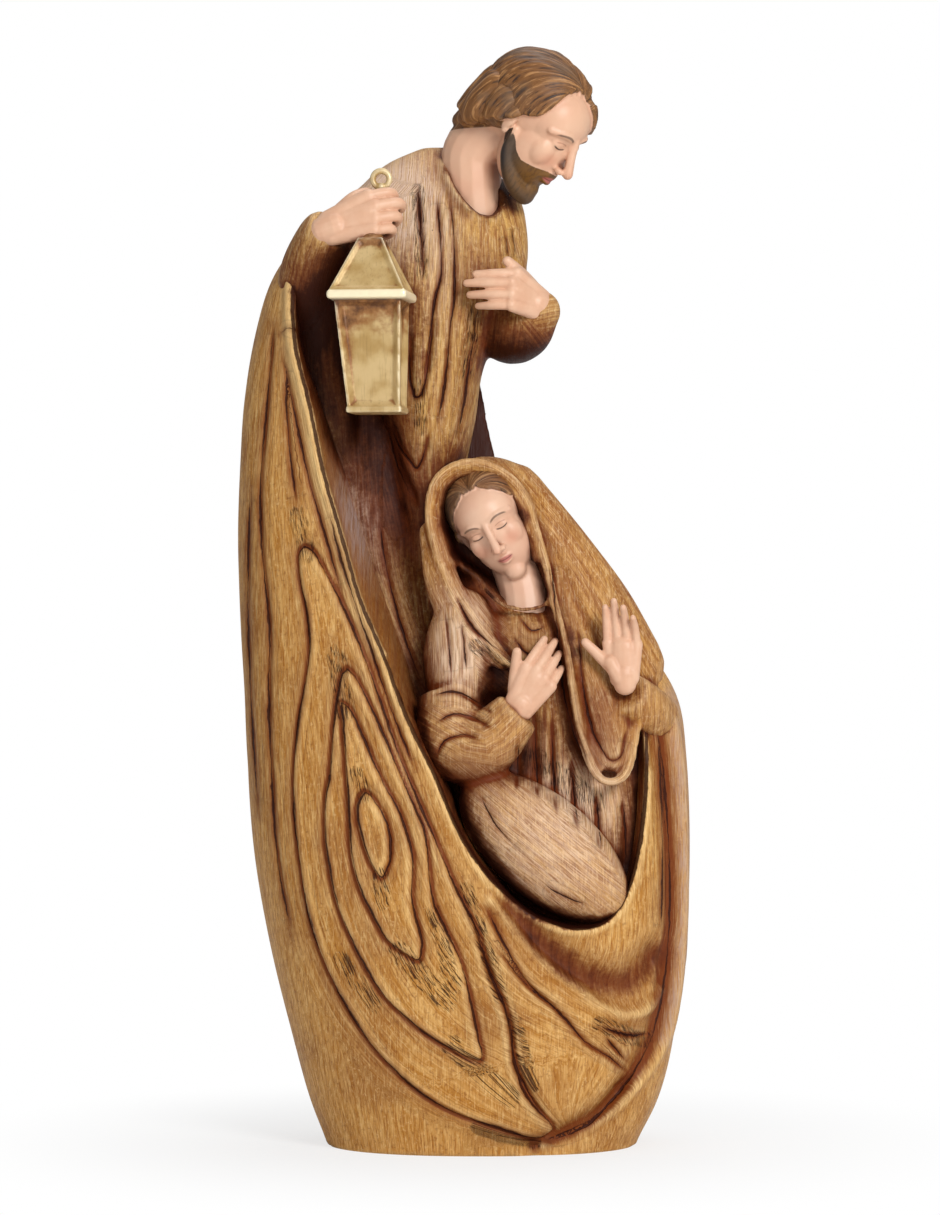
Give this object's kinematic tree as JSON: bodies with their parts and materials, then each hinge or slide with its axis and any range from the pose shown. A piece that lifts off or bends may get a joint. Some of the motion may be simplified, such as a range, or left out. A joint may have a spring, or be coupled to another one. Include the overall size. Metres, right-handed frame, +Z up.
{
  "type": "religious statue",
  "caption": "Carved-wood style statue of a standing man with a lantern and a seated woman, wrapped together in one tall cloak.",
  "frame": {"origin": "middle of the flat underside that the statue stands on", "axes": "+Z up from the underside to the man's head, -Y out of the open front of the cloak towards the viewer, +X to the viewer's right"},
  "size_m": [0.2482, 0.1691, 0.5996],
  "materials": {
    "painted_resin": "satin, painted like oiled wood, with flesh and hair colours on heads and hands and a gold lantern"
  },
  "bodies": {
    "root": {"statue": "painted_resin"}
  },
  "joints": []
}
